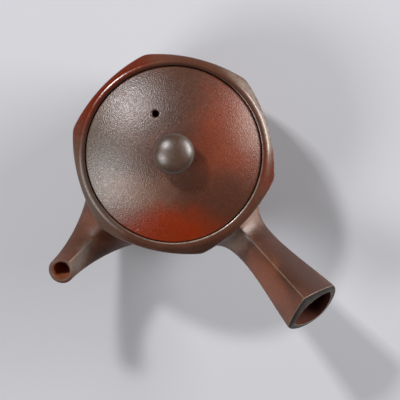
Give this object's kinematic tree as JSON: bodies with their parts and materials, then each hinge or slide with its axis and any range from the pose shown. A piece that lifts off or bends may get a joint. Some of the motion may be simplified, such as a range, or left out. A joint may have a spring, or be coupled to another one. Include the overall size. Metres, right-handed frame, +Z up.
{
  "type": "kyusu teapot",
  "caption": "Small six-sided clay teapot with a hollow side handle, a ridged spout with a clay strainer behind it, and a round drop-in lid that lifts off by a flattened ball knob.",
  "frame": {"origin": "centre of the flat base that the pot stands on, on the axis of the lid", "axes": "+Z up along the axis of the pot and lid; the spout points along -Y; the handle leaves towards +X, 86 degrees round from the spout"},
  "size_m": [0.1444, 0.126, 0.0824],
  "materials": {
    "pot_clay": "burnished unglazed brown clay, reddened in places by the fire",
    "rim_clay": "burnished unglazed brown clay",
    "spout_clay": "satin unglazed brown clay, red inside",
    "handle_clay": "satin unglazed brown clay, red inside",
    "strainer_clay": "matt unglazed red clay",
    "lid_clay": "finely pebbled burnished clay, grey-brown with fire-red patches",
    "flange_clay": "matt unglazed red-brown clay",
    "knob_clay": "smooth burnished grey-brown clay"
  },
  "bodies": {
    "pot": {"pot_body": "pot_clay", "mouth_ring": "rim_clay", "spout": "spout_clay", "handle": "handle_clay", "strainer": "strainer_clay"},
    "lid": {"lid_plate": "lid_clay", "lid_flange": "flange_clay", "lid_knob": "knob_clay"}
  },
  "joints": [
    {"name": "lid_lift", "type": "slide", "parent": "pot", "child": "lid", "axis": [0, 0, 1], "range_m": [0, 0.06]}
  ]
}
